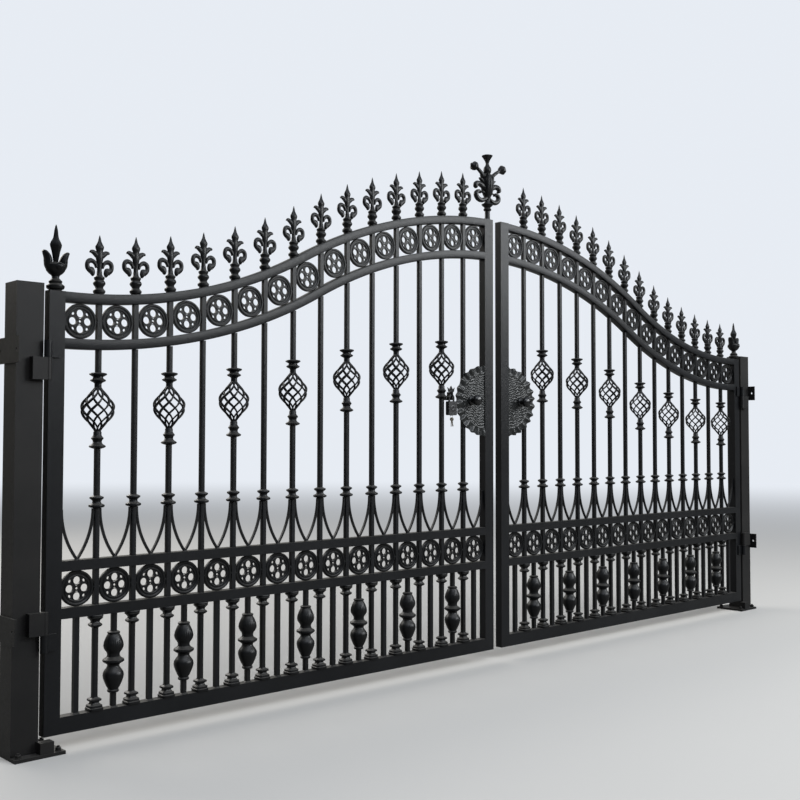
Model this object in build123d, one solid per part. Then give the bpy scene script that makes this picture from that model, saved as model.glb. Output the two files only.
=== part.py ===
from build123d import *
from math import asin, atan2, cos, degrees, pi, radians, sin, sqrt
import os

# Wrought iron driveway gate: two leaves of square bar in tube frames, on two square posts.
# X runs along the gate, -Y faces the street and +Z is up. The origin lies on the underside
# of the left post's base plate, under the middle of the post.

# Driving dimensions of a leaf, in millimetres
bays = 15                     # clear spaces between the uprights of one leaf
bay_clear = 131.0             # clear width of one space, which one ring fills
band_clear = 131.0            # clear height of the two ring bands
bar = 19.0                    # square bar of the uprights
frame_depth = 40.0            # front to back size of the frame tubes
stile_width = 60.0            # face width of the hinge and meeting stiles
rail_height = 38.0            # face height of the band and arch rails
bottom_rail_height = 60.0
panel_height = 347.0          # clear height of the panel of balusters
ground_clearance = 60.0       # under the bottom rail
hinge_side_height = 1586.0    # top of the arch at the hinge stile, above the leaf's foot
crown_height = 2172.0         # top of the arch on the gate's middle line
crown_radius = 2600.0         # convex part of the arch, at its upper edge
sweep_radius = 2190.0         # hollow part of the arch, at its upper edge
leaf_gap = 60.0               # between the two meeting stiles
seat = 0.2                    # play where a piece is welded to a curved rail

# Posts, their plates and the hinges
post_size = 100.0
post_gap = 20.0               # between a post and its leaf
post_over_stile = 22.0        # how far a post stands above the hinge stile
plate_thickness = 12.0
plate_length = 185.0          # along the gate
plate_width = 180.0
plate_hole_radius = 7.0
plate_hole_inset = 20.0
foot_block = (50.0, 38.0, 40.0)
wall_plate_thickness = 8.0
wall_plate_length = 184.0
wall_plate_height = 92.0
wall_hole_radius = 6.5
wall_plate_middles = (445.0, 1424.0)
knuckle_radius = 14.0
knuckle_standoff = 15.0       # hinge axis in front of the gate's face
pin_radius = 6.0
pin_play = 0.08
bracket_width = 50.0
bracket_height = 80.0
leaf_knuckle_height = 60.0
hinge_tab = (40.0, 8.0)       # length on the stile and thickness
hinge_play = 1.0              # between the two knuckles of a hinge
lower_bracket_top = 502.0
upper_bracket_foot = 1322.0

# Ornament
ring_thickness = 16.0
ring_play = 0.3               # between a ring and the rails and bars round it
ring_sides = 12
ring_rim = 14.0
lobe_radius = 17.0
lobe_offset = 27.0
strap_thickness = 9.0
strap_depth = 12.0
strap_gap = 0.3               # between the feet of two straps
collar_height = 806.0         # lower disc of the collars, above the leaf's foot
collar_foot = 9.0             # how far the collar reaches below that disc
basket_hinge_height = 1162.0  # widest part of the baskets next to the hinge stile
basket_follow = 0.424         # share of the arch's rise that the baskets follow
basket_radius = 60.0
basket_half_height = 82.0
basket_wire = 5.0
basket_wires = 4              # in each of the two directions of twist

# Staple and padlock, on the picket next to the lock plate
lock_height = 1247.0          # middle of the lock plate above the leaf's foot
lock_picket = 13
staple_height = 1270.0
staple_reach = 33.0           # from the picket to the eye
staple_plate = 5.0
staple_eye = 5.6              # radius of the eye
staple_eye_y = -23.0
shackle_radius = 4.8
shackle_lift = 0.32           # the shackle is curved and bears on the rims of the eye
shackle_bend = 15.0
padlock_width = 56.0
padlock_depth = 22.0
padlock_height = 68.0

# Positions that follow from them
pitch = bay_clear + bar
leaf_width = 2 * stile_width + bays * bay_clear + (bays - 1) * bar
leaf_x = post_size / 2 + post_gap
front_y = -post_size / 2
gate_middle = leaf_x + leaf_width + leaf_gap / 2
leaf_foot = ground_clearance
panel_foot = leaf_foot + bottom_rail_height
band_foot = panel_foot + panel_height
band_floor = band_foot + rail_height
band_ceiling = band_floor + band_clear
band_top = band_ceiling + rail_height
strap_rise = leaf_foot + collar_height - collar_foot - seat - band_top
stile_top = leaf_foot + hinge_side_height
arch_x = leaf_width + leaf_gap / 2
arch_top = leaf_foot + crown_height
bar_y = frame_depth / 2
ring_inset = rail_height + band_clear / 2
arch_underside = 2 * rail_height + band_clear
axis_x = post_size / 2 + post_gap / 2
axis_y = front_y - knuckle_standoff
arch_run = sqrt(2 * (crown_radius + sweep_radius) * (crown_height - hinge_side_height)
                - (crown_height - hinge_side_height) ** 2)
sweep_x = arch_x - arch_run
sweep_angle = asin(arch_run / (crown_radius + sweep_radius))


def picket_x(number):
    """Middle of an upright, counted from the hinge stile."""
    return stile_width + number * pitch - bar / 2


def bay_x(number):
    """Middle of a clear space, counted from the hinge stile."""
    return stile_width + (number - 1) * pitch + bay_clear / 2


def turn_x(inset):
    """Where an arch line changes from the hollow sweep to the crown."""
    return sweep_x + (sweep_radius + inset) * sin(sweep_angle)


def arch_z(x, inset):
    """Height of an arch line that runs at a constant distance under the upper edge."""
    if x <= sweep_x:
        return stile_top - inset
    if x <= turn_x(inset):
        return stile_top + sweep_radius - sqrt((sweep_radius + inset) ** 2 - (x - sweep_x) ** 2)
    return arch_top - crown_radius + sqrt((crown_radius - inset) ** 2 - (arch_x - x) ** 2)


def arch_slope(x, inset):
    """Slope of an arch line in degrees."""
    if x <= sweep_x:
        return 0.0
    if x <= turn_x(inset):
        return degrees(asin((x - sweep_x) / (sweep_radius + inset)))
    return degrees(asin((arch_x - x) / (crown_radius - inset)))


def flat(outline, depth, y=0.0, holes=()):
    """Extrude an outline, given as X and Z pairs, from front to back."""
    outer = Wire.make_polygon([(x, y, z) for x, z in outline])
    inner = [Wire.make_polygon([(x, y, z) for x, z in hole]) for hole in holes]
    return extrude(Face(outer, inner), amount=depth, dir=(0, 1, 0))


def block(x0, x1, y0, y1, z0, z1):
    """Rectangular block between two corners."""
    return Pos((x0 + x1) / 2, (y0 + y1) / 2, (z0 + z1) / 2) * Box(x1 - x0, y1 - y0, z1 - z0)


def skin(rings):
    """Closed solid over rings of points that all have the same number of corners."""
    sides = len(rings[0])
    faces = [Face(Wire.make_polygon(rings[0])), Face(Wire.make_polygon(rings[-1]))]
    for lower, upper in zip(rings, rings[1:]):
        for side in range(sides):
            after = (side + 1) % sides
            faces.append(Face(Wire.make_polygon([lower[side], lower[after], upper[after]])))
            faces.append(Face(Wire.make_polygon([lower[side], upper[after], upper[side]])))
    return Solid(Shell(faces))


def turned(profile, sides):
    """Casting of few flat sides from pairs of the distance to a flat, and height."""
    rings = []
    for radius, height in profile:
        corner = radius / cos(pi / sides)
        angles = [2 * pi * (side + 0.5) / sides for side in range(sides)]
        rings.append([(corner * cos(angle), corner * sin(angle), height) for angle in angles])
    faces = [Face(Wire.make_polygon(rings[0])), Face(Wire.make_polygon(rings[-1]))]
    for lower, upper in zip(rings, rings[1:]):
        for side in range(sides):
            after = (side + 1) % sides
            corners = [lower[side], lower[after], upper[after], upper[side]]
            faces.append(Face(Wire.make_polygon(corners)))
    return Solid(Shell(faces))


def ribbon(path, widths, depth):
    """Flat scroll or leaf of changing width along a path in the gate's plane."""
    one_side = []
    other_side = []
    last = len(path) - 1
    for index, (x, z) in enumerate(path):
        before = path[max(index - 1, 0)]
        after = path[min(index + 1, last)]
        angle = atan2(after[1] - before[1], after[0] - before[0])
        half = widths[index] / 2
        one_side.append((x - half * sin(angle), z + half * cos(angle)))
        other_side.append((x + half * sin(angle), z - half * cos(angle)))
    return flat(one_side + other_side[::-1], depth, -depth / 2)


def both_sides(shape):
    """A piece of an ornament with its mirror image."""
    return shape + mirror(shape, about=Plane.YZ)


def circle_points(x, z, radius, count, start=0.0, sweep=360.0):
    """Points on an arc in the gate's plane, its end left out on a full circle."""
    steps = count if sweep == 360.0 else count - 1
    angles = [radians(start + sweep * step / steps) for step in range(count)]
    return [(x + radius * cos(angle), z + radius * sin(angle)) for angle in angles]


def arch_rail(inset):
    """One S-curved rail of the arch, between the two stiles."""
    left = stile_width
    right = leaf_width - stile_width
    edges = []
    for line in (inset, inset + rail_height):
        turn = turn_x(line)
        ends = [left, sweep_x, turn, right]
        points = [(x, 0, arch_z(x, line)) for x in ends]
        edges.append(Edge.make_line(points[0], points[1]))
        for start, end in ((1, 2), (2, 3)):
            middle = (ends[start] + ends[end]) / 2
            through = (middle, 0, arch_z(middle, line))
            edges.append(Edge.make_three_point_arc(points[start], through, points[end]))
    for x in (left, right):
        edges.append(Edge.make_line((x, 0, arch_z(x, inset)), (x, 0, arch_z(x, inset + rail_height))))
    return extrude(Face(Wire(edges)), amount=frame_depth, dir=(0, 1, 0))


def upright(x, foot, inset):
    """Square bar from a level foot to the slope of an arch line."""
    left = x - bar / 2
    right = x + bar / 2
    top = ((right, arch_z(right, inset) - seat), (left, arch_z(left, inset) - seat))
    return flat(((left, foot), (right, foot)) + top, bar, bar_y - bar / 2)


def band_divider(x):
    """Short bar between two rings of the straight band."""
    return block(x - bar / 2, x + bar / 2, bar_y - bar / 2, bar_y + bar / 2, band_floor, band_ceiling)


def arch_divider(x):
    """Short bar between two rings of the arch."""
    left = x - bar / 2
    right = x + bar / 2
    lower = rail_height + band_clear
    outline = (
        (left, arch_z(left, lower) + seat),
        (right, arch_z(right, lower) + seat),
        (right, arch_z(right, rail_height) - seat),
        (left, arch_z(left, rail_height) - seat),
    )
    return flat(outline, bar, bar_y - bar / 2)


def quatrefoil_ring(tilt):
    """Cast ring with an opening of four lobes, for a band that slopes by this many degrees."""
    radius = min(bay_clear, band_clear) / 2 - ring_play
    outline = []
    for start, sweep in ((0, 90 + tilt), (90 + tilt, 90 - tilt), (180, 90 + tilt), (270 + tilt, 90 - tilt)):
        outline += circle_points(0, 0, radius, ring_sides // 4 + 1, start, sweep)[:-1]
    opening = []
    for lobe in range(4):
        angle = 90 * lobe
        middle = (lobe_offset * cos(radians(angle)), lobe_offset * sin(radians(angle)))
        opening += circle_points(*middle, lobe_radius, 4, angle - 108, 216)
    return flat(outline, ring_thickness, bar_y - ring_thickness / 2, [opening])


def lower_picket():
    """Bar of the lower panel with its stepped shoe and its flared capital."""
    shaft = block(-bar / 2, bar / 2, -bar / 2, bar / 2, 0, panel_height)
    shoe = turned(((26, 0), (26, 20), (15, 30), (20, 36), (20, 42), (bar / 2 + 0.5, 50)), 4)
    capital = turned(
        (
            (bar / 2 + 0.5, panel_height - 48),
            (21, panel_height - 38),
            (21, panel_height - 32),
            (14, panel_height - 24),
            (23, panel_height - 10),
            (23, panel_height),
        ),
        4,
    )
    return shaft + shoe + capital


def baluster():
    """Bar of the lower panel with a cast pair of bulbs round it."""
    shaft = block(-bar / 2, bar / 2, -bar / 2, bar / 2, 0, panel_height)
    bulbs = turned(
        (
            (19, 60),
            (23, 68),
            (39, 108),
            (39, 124),
            (21, 150),
            (41, 170),
            (23, 194),
            (37, 218),
            (37, 238),
            (22, 270),
            (19, 280),
        ),
        8,
    )
    return shaft + bulbs


def collar():
    """Spool of two discs that clasps an upright, its lower disc at the origin."""
    return turned(((13, -collar_foot), (29, -3), (29, 3), (17, 12), (16, 20), (26, 27), (26, 32), (13, 38)), 8)


def basket_profile(share):
    """Radius of the basket from its foot, 0, to its head, 1."""
    return 10 + (basket_radius - 10) * sin(pi * share) ** 1.35


def basket_bar(start, twist, inset):
    """One wire of the basket: a thin square bar that winds along its onion outline."""
    rings = []
    stations = 7
    half = basket_wire / 2
    for station in range(stations):
        share = station / (stations - 1)
        angle = radians(start + twist * share)
        radius = basket_profile(share) - inset
        height = basket_half_height * (2 * share - 1)
        ring = []
        for outward, across in ((-half, -half), (half, -half), (half, half), (-half, half)):
            reach = radius + outward
            ring.append((reach * cos(angle) - 1.4 * across * sin(angle),
                         reach * sin(angle) + 1.4 * across * cos(angle), height))
        rings.append(ring)
    return skin(rings)


def basket():
    """Cage of crossing wires between its two spools, its widest part at the origin."""
    head = basket_half_height - 6
    shape = turned(((13, head), (16, head + 12), (15, head + 22), (28, head + 28), (28, head + 33),
                    (18, head + 40), (31, head + 47), (31, head + 53), (14, head + 60)), 8)
    shape += turned(((14, -head - 66), (30, -head - 60), (30, -head - 54), (17, -head - 44),
                     (22, -head - 34), (22, -head - 28), (16, -head - 18), (13, -head)), 8)
    for wire in range(basket_wires):
        shape += basket_bar(360 * wire / basket_wires, 150, 0)
        shape += basket_bar(360 * (wire + 0.5) / basket_wires, -150, basket_wire + 0.5)
    return shape


def basket_z(x):
    """Height of a basket's widest part, which follows the arch."""
    rise = arch_z(x, arch_underside) - arch_z(stile_width, arch_underside)
    return leaf_foot + basket_hinge_height + basket_follow * rise


def strap(side):
    """Curved flat from a collar down to the middle of the bay, in front view."""
    reach = bay_clear / 2 - strap_gap / 2 - strap_thickness
    inner = (reach ** 2 + strap_rise ** 2) / (2 * reach)
    middle = inner + strap_thickness
    edges = []
    corners = []
    for radius in (inner, middle):
        lean = asin(strap_rise / radius)
        points = [
            (side * (middle - radius * cos(angle)), 0, strap_rise - radius * sin(angle))
            for angle in (0, lean / 2, lean)
        ]
        edges.append(Edge.make_three_point_arc(*points))
        corners.append(points)
    edges.append(Edge.make_line(corners[0][0], corners[1][0]))
    edges.append(Edge.make_line(corners[0][2], corners[1][2]))
    face = Face(Wire(edges))
    return Pos(0, bar_y - strap_depth / 2, 0) * extrude(face, amount=strap_depth, dir=(0, 1, 0))


def spear_finial():
    """Cast fleur-de-lis spear, its foot at the origin."""
    stem = turned(((10, 68), (9, 98), (12, 124), (9, 156), (15, 181), (9, 200), (2, 222)), 6)
    scroll = ribbon(
        ((17, 73), (31, 85), (42, 98), (45, 113), (38, 127), (26, 129), (15, 120), (10, 112)),
        (5, 13, 18, 20, 19, 16, 13, 12),
        12,
    )
    lobe = ribbon(((2, 134), (18, 151), (36, 163)), (18, 22, 4), 11)
    foot = turned(((16, -18), (21, 12), (21, 20), (12, 30), (20, 42), (20, 60), (10, 72)), 4)
    return foot + stem + both_sides(scroll + lobe)


def on_arch(x, shape):
    """Stand a finial on the arch and trim its foot to the slope of the rail."""
    height = arch_z(x, 0)
    reach = 30.0
    slope = [(x + step, arch_z(x + step, 0) + seat) for step in (reach, 0, -reach)]
    under = flat([(x - reach, height - 80), (x + reach, height - 80)] + slope, frame_depth)
    return Pos(x, bar_y, height) * shape - under


def tulip_finial():
    """Cast bud on the hinge stile: a spear between two tall petals and two short ones."""
    foot = turned(((22, 0), (30, 16), (30, 26), (18, 36), (20, 46), (12, 58), (26, 67), (40, 84),
                   (41, 98), (30, 112)), 8)
    spear = turned(((13, 110), (14, 146), (20, 172), (11, 190), (2, 242)), 6)
    tall = ribbon(((22, 84), (32, 102), (33, 120), (36, 136), (46, 148), (53, 140)),
                  (16, 24, 22, 18, 15, 6), 30)
    short = Rot(0, 0, 90) * ribbon(((24, 84), (34, 98), (38, 112)), (14, 14, 4), 26)
    return foot + spear + both_sides(tall) + short + mirror(short, about=Plane.XZ)


def bell_flower():
    """Head of a trumpet flower, its stalk at the origin."""
    return turned(((6, -4), (8, 10), (17, 26), (20, 36), (10, 50), (3, 60)), 8)


def meeting_finial():
    """Tall cast finial with three trumpet flowers, two pairs of scrolls and leaves."""
    stem = turned(((15, 0), (13, 8), (13, 46), (20, 50), (20, 56), (14, 62), (28, 71), (28, 78),
                   (14, 88), (13, 130), (24, 176), (28, 204), (16, 234), (18, 256), (10, 280),
                   (9, 296), (23, 326), (12, 338)), 8)
    low = ribbon(((6, 126), (30, 137), (56, 131), (72, 112), (60, 94), (40, 96)),
                 (12, 15, 20, 22, 18, 8), 16)
    high = ribbon(((8, 138), (34, 168), (60, 184), (82, 174), (80, 156), (66, 154)),
                  (12, 17, 20, 20, 15, 7), 16)
    leaf = ribbon(((8, 168), (30, 194), (52, 208)), (18, 20, 4), 14)
    top_leaf = ribbon(((4, 196), (20, 222), (34, 240)), (20, 18, 4), 14)
    stalk = ribbon(((12, 196), (34, 226), (60, 252), (86, 262)), (14, 13, 12, 12), 12)
    flower = Pos(80, 0, 262) * Rot(0, 98, 0) * bell_flower()
    return stem + both_sides(low + high + leaf + top_leaf + stalk + flower)


def lock_plate():
    """Half of the round lock plate, seen on one side of the meeting stiles."""
    radius = 182.0
    straight = 24.0
    flutes = 14
    rim = []
    for flute in range(flutes + 1):
        angle = 90 + 180 * flute / flutes
        reach = radius if flute % 2 == 0 else radius - 10
        rim.append((reach * cos(radians(angle)) - straight, reach * sin(radians(angle))))
    outline = [(0, radius)] + rim + [(0, -radius)]
    field = [(0, radius - 34)] + circle_points(-straight, 0, radius - 34, 9, 90, 180) + [(0, -radius + 34)]
    return flat(outline, 6, 3.5) + flat(field, 4, 0)


def pull_knob():
    """Round pull on a waisted shank, standing out of the lock plate."""
    outline = ((0, 0), (22, 0), (22, 4), (12, 8), (12, 15), (21, 19), (27, 28), (27, 35), (21, 46),
               (12, 52), (0, 54))
    face = Face(Wire.make_polygon([(radius, 0, height) for radius, height in outline]))
    return Rot(90, 0, 0) * revolve(face, axis=Axis.Z)


def lock_staple():
    """Arm on a picket with an eye for the padlock and a small crown over it."""
    arm = block(0, staple_reach, -2, 6, -26, -16)
    eye = block(staple_reach, staple_reach + staple_plate, staple_eye_y - 10, 6, -26, 14)
    bore = Rot(0, 90, 0) * Cylinder(staple_eye, 2 * staple_plate)
    eye -= Pos(staple_reach + staple_plate / 2, staple_eye_y, 0) * bore
    crown = flat(((-16, 14), (20, 14), (26, 36), (14, 26), (2, 44), (-10, 26), (-22, 36)), 4,
                 staple_eye_y)
    return arm + eye + Pos(staple_reach, 0, 0) * crown


def padlock():
    """Box lock whose shackle hangs in the eye of the staple."""
    bend = Edge.make_circle(shackle_bend, Plane.XZ, start_angle=0, end_angle=180)
    shackle = sweep(Pos(shackle_bend, 0, 0) * Circle(shackle_radius), path=bend)
    for x in (-shackle_bend, shackle_bend):
        shackle += Pos(x, 0, -8) * Cylinder(shackle_radius, 16)
    body = Pos(0, 0, -16 - padlock_height / 2) * Box(padlock_width, padlock_depth, padlock_height)
    body = fillet(body.edges().filter_by(Axis.Y), 7)
    height = shackle_radius - staple_eye + shackle_lift - shackle_bend
    return Pos(staple_reach + staple_plate / 2, staple_eye_y, height) * (shackle + body)


def left_and_right(shapes):
    """Place a leaf's pieces at the left, and mirrored at the right."""
    placed = [Pos(leaf_x, front_y, 0) * shape for shape in shapes]
    mirrored = [mirror(shape, about=Plane.YZ.offset(gate_middle)) for shape in placed]
    return placed, mirrored


nodes = {}


def leaf_node(name, shapes):
    """Write one kind of piece into a node of each leaf."""
    placed, mirrored = left_and_right(shapes)
    nodes["left_" + name] = placed
    nodes["right_" + name] = mirrored


def post_node(name, shapes):
    """Write one kind of piece into a node of each post."""
    nodes["left_" + name] = shapes
    nodes["right_" + name] = [mirror(shape, about=Plane.YZ.offset(gate_middle)) for shape in shapes]


# Frame of the leaf
meeting_x = leaf_width - stile_width
leaf_node("hinge_stile", [block(0, stile_width, 0, frame_depth, leaf_foot, stile_top)])
leaf_node("meeting_stile", [block(meeting_x, leaf_width, 0, frame_depth, leaf_foot, arch_z(leaf_width, 0))])
leaf_node("bottom_rail", [block(stile_width, meeting_x, 0, frame_depth, leaf_foot, panel_foot)])
leaf_node("band_rails", [
    block(stile_width, meeting_x, 0, frame_depth, foot, foot + rail_height)
    for foot in (band_foot, band_ceiling)
])
leaf_node("arch_rails", [arch_rail(0), arch_rail(rail_height + band_clear)])

# Panel of pickets, plain bars and balusters
pickets = range(1, bays)
picket = lower_picket()
leaf_node("lower_pickets", [Pos(picket_x(number), bar_y, panel_foot) * picket for number in pickets])
leaf_node("infill_bars", [
    block(bay_x(number) - bar / 2, bay_x(number) + bar / 2, bar_y - bar / 2, bar_y + bar / 2, panel_foot, band_foot)
    for number in range(1, bays + 1, 2)
])
bulb_bar = baluster()
leaf_node("balusters", [Pos(bay_x(number), bar_y, panel_foot) * bulb_bar for number in range(2, bays, 2)])

# Bands of rings
ring = quatrefoil_ring(0)
leaf_node("dividers", [band_divider(picket_x(number)) for number in pickets]
          + [arch_divider(picket_x(number)) for number in pickets])
leaf_node("band_rings", [
    Pos(bay_x(number), 0, band_floor + band_clear / 2) * ring for number in range(1, bays + 1)
])
leaf_node("arch_rings", [
    Pos(bay_x(number), 0, arch_z(bay_x(number), ring_inset))
    * quatrefoil_ring(arch_slope(bay_x(number), ring_inset))
    for number in range(1, bays + 1)
])

# Tall pickets, plain and with baskets
spool = collar()
cage = basket()
basket_head = basket_half_height + 54
basket_foot = basket_half_height + 60
plain = []
caged = []
for number in pickets:
    x = picket_x(number)
    shaft = upright(x, band_top, arch_underside)
    if number % 2:
        middle = basket_z(x)
        gap = block(x - bar, x + bar, 0, frame_depth, middle - basket_foot, middle + basket_head)
        shaft = shaft - gap + Pos(x, bar_y, middle) * cage
    shaft += Pos(x, bar_y, leaf_foot + collar_height) * spool
    if number % 2:
        caged.append(shaft)
    else:
        plain.append(shaft)
leaf_node("tall_pickets", plain)
leaf_node("basket_pickets", caged)

# Curved straps that meet in the middle of each bay
strap_pair = [strap(1), strap(-1)]
strap_shapes = []
for number in range(1, bays + 1):
    left = bay_x(number) - bay_clear / 2
    right = bay_x(number) + bay_clear / 2
    strap_shapes += [Pos(left, 0, band_top) * strap_pair[0], Pos(right, 0, band_top) * strap_pair[1]]
leaf_node("arch_straps", strap_shapes)

# Finials
spear = spear_finial()
leaf_node("spear_finials", [on_arch(picket_x(number), spear) for number in pickets])
leaf_node("tulip_finial", [Pos(stile_width / 2, bar_y, stile_top) * tulip_finial()])
finial_place = Pos(leaf_x + leaf_width - stile_width / 3, front_y + bar_y, arch_z(leaf_width, 0))
nodes["left_meeting_finial"] = [finial_place * meeting_finial()]

# Lock plate, pulls and padlock
lock_z = leaf_foot + lock_height
leaf_node("lock_plate", [Pos(meeting_x, 0, lock_z) * lock_plate()])
leaf_node("pull_knob", [Pos(meeting_x - 95, 0, lock_z) * pull_knob()])
staple_place = Pos(leaf_x + picket_x(lock_picket) + bar / 2, front_y + bar_y, leaf_foot + staple_height)
nodes["left_lock_staple"] = [staple_place * lock_staple()]
nodes["left_padlock"] = [staple_place * padlock()]

# Hinges
bracket = block(axis_x - post_gap / 2 - bracket_width, axis_x, axis_y - knuckle_radius + 1, front_y,
                0, bracket_height)
bracket += Pos(axis_x, axis_y, bracket_height / 2) * Cylinder(knuckle_radius, bracket_height)
pin_length = leaf_knuckle_height - 8
upper_pin = Pos(axis_x, axis_y, bracket_height + pin_length / 2) * Cylinder(pin_radius, pin_length)
lower_pin = Pos(axis_x, axis_y, -pin_length / 2) * Cylinder(pin_radius, pin_length)
post_node("hinge_brackets", [
    Pos(0, 0, lower_bracket_top - bracket_height) * (bracket + lower_pin),
    Pos(0, 0, upper_bracket_foot) * (bracket + upper_pin),
])
knuckle = Pos(axis_x, axis_y, leaf_knuckle_height / 2) * Cylinder(knuckle_radius, leaf_knuckle_height)
knuckle += block(axis_x + 4, leaf_x + hinge_tab[0], front_y - hinge_tab[1], front_y, 0, leaf_knuckle_height)
knuckle -= Pos(axis_x, axis_y, leaf_knuckle_height / 2) * Cylinder(pin_radius + pin_play, leaf_knuckle_height)
lower_knuckle_foot = lower_bracket_top - bracket_height - hinge_play - leaf_knuckle_height
upper_knuckle_foot = upper_bracket_foot + bracket_height + hinge_play
post_node("hinge_knuckles", [Pos(0, 0, foot) * knuckle for foot in (lower_knuckle_foot, upper_knuckle_foot)])

# Posts and the plates that hold them
post_node("post", [
    block(-post_size / 2, post_size / 2, -post_size / 2, post_size / 2, plate_thickness,
          stile_top + post_over_stile)
])
plate_x0 = -post_size / 2
plate_x1 = plate_x0 + plate_length
plate = block(plate_x0, plate_x1, -plate_width / 2, plate_width / 2, 0, plate_thickness)
hole_x = (plate_x0 + plate_hole_inset, plate_x1 - plate_hole_inset)
hole_y = plate_width / 2 - plate_hole_inset
for x in hole_x:
    for y in (-hole_y, hole_y):
        plate -= Pos(x, y, plate_thickness / 2) * Cylinder(plate_hole_radius, plate_thickness)
block_x = plate_x0 + post_size - 8
plate += block(block_x, block_x + foot_block[0], front_y - foot_block[1], front_y,
               plate_thickness, plate_thickness + foot_block[2])
post_node("base_plate", [plate])
wall_plate = block(plate_x0 - wall_plate_thickness, plate_x0, -wall_plate_length / 2, wall_plate_length / 2,
                   -wall_plate_height / 2, wall_plate_height / 2)
wall_hole_y = (post_size + wall_plate_length) / 4
for y in (-wall_hole_y, wall_hole_y):
    wall_plate -= Pos(plate_x0 - wall_plate_thickness / 2, y, 0) * Rot(0, 90, 0) * Cylinder(
        wall_hole_radius, wall_plate_thickness)
post_node("wall_plates", [Pos(0, 0, z) * wall_plate for z in wall_plate_middles])

os.makedirs("parts", exist_ok=True)
for name, shapes in nodes.items():
    solids = [solid for shape in shapes for solid in shape.solids()]
    export_step(Compound(children=solids), "parts/" + name + ".step")
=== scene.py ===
from math import asin, atan2, cos, exp, pi, radians, sin, sqrt

import bpy
from mathutils import Matrix, Vector


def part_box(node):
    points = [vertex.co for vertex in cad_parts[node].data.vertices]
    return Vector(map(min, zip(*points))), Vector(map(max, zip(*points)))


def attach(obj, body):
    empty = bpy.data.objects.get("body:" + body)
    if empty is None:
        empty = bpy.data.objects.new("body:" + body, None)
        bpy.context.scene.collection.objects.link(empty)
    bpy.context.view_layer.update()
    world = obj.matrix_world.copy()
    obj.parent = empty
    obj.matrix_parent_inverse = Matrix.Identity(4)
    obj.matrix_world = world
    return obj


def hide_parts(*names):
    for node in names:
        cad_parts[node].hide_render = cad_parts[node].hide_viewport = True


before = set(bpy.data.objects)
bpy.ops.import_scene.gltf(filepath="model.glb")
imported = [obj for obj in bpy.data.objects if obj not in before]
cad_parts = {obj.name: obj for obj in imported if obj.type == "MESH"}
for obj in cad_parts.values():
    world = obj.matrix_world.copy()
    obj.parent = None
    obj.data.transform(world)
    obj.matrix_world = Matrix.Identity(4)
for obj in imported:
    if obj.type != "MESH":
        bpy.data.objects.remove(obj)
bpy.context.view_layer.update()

# The two posts. Square steel tube, 100 mm wide, stood on a welded base plate and held to the
# masonry by flat plates with two bolts each. The black paint on them has gone slightly
# brown-grey and dusty, more so near the ground; the pale coat on their upward faces is part
# dusting and part painted sheen.


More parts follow.
